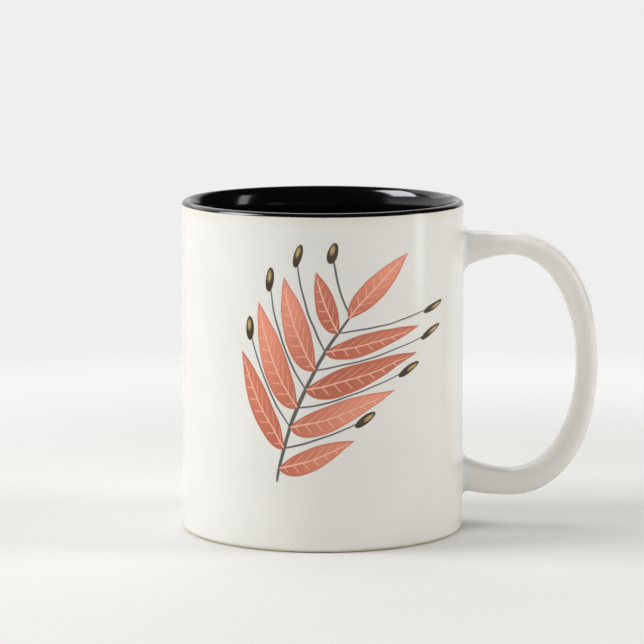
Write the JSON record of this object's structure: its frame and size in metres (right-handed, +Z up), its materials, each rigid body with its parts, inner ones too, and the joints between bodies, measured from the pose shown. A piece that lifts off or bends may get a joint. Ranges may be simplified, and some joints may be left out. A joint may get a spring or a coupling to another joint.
{
  "type": "coffee mug",
  "caption": "Straight-sided ceramic mug, white outside and black inside, with a D-shaped side handle; it stands on a foot ring and holds a hot drink.",
  "frame": {"origin": "bottom centre of the whole mug's box, in the plane that the foot ring stands on", "axes": "+Z up along the cup's axis, +X from the cup to its handle, in the handle's own plane, +Y across the handle"},
  "size_m": [0.1214, 0.082, 0.0963],
  "materials": {
    "glaze": "gloss"
  },
  "bodies": {
    "root": {"mug": "glaze"}
  },
  "joints": []
}
